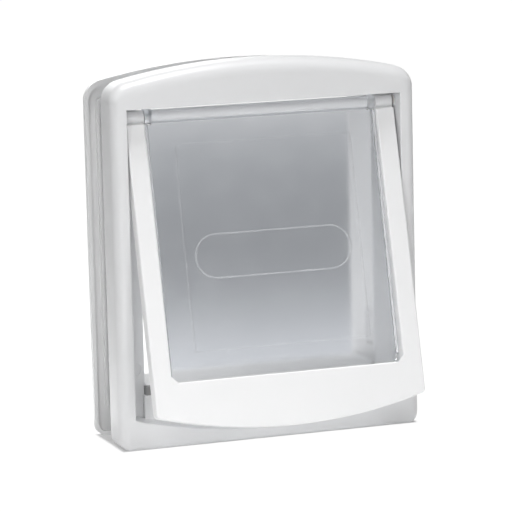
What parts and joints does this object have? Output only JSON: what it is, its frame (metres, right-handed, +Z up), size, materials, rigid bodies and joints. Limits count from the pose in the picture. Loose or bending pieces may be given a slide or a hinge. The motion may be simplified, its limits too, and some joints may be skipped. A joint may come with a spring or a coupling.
{
  "type": "cat flap",
  "caption": "Two-way cat flap for a door: arched front and back frames with a hinged white surround and a clear swinging window.",
  "frame": {"origin": "middle of the plane where the front frame's rim meets the door, half way up the frame", "axes": "+X to the right seen from the front, +Y into the door, away from the viewer, +Z up"},
  "size_m": [0.198, 0.0994, 0.236],
  "materials": {
    "white_plastic": "moulded, low gloss",
    "clear_plastic": "clear, lightly smoked, polished",
    "steel": "zinc plated",
    "nylon": "satin",
    "magnet": "matt ferrite strip",
    "pile": "woven pile"
  },
  "bodies": {
    "frames": {"front_frame": "white_plastic", "back_frame": "white_plastic", "hinge_rod": "steel", "hinge_bush_left": "nylon", "hinge_bush_right": "nylon", "sill_magnet": "magnet", "fixing_screw_lower_left": "steel", "screw_cap_lower_left": "white_plastic", "fixing_screw_lower_right": "steel", "screw_cap_lower_right": "white_plastic", "fixing_screw_upper_left": "steel", "screw_cap_upper_left": "white_plastic", "fixing_screw_upper_right": "steel", "screw_cap_upper_right": "white_plastic"},
    "surround": {"flap_surround": "white_plastic", "bar_keeper": "steel", "arm_seal_left": "pile", "arm_seal_right": "pile", "bar_seal": "pile"},
    "window": {"flap_window": "clear_plastic"}
  },
  "joints": [
    {"name": "surround_hinge", "type": "hinge", "parent": "frames", "child": "surround", "pos_m": [0, -0.0086, 0.086], "axis": [-1, 0, 0], "range_deg": [-14.3, 75]},
    {"name": "window_hinge", "type": "hinge", "parent": "surround", "child": "window", "pos_m": [0, -0.0086, 0.086], "axis": [-1, 0, 0], "range_deg": [-80, 1.7]}
  ]
}
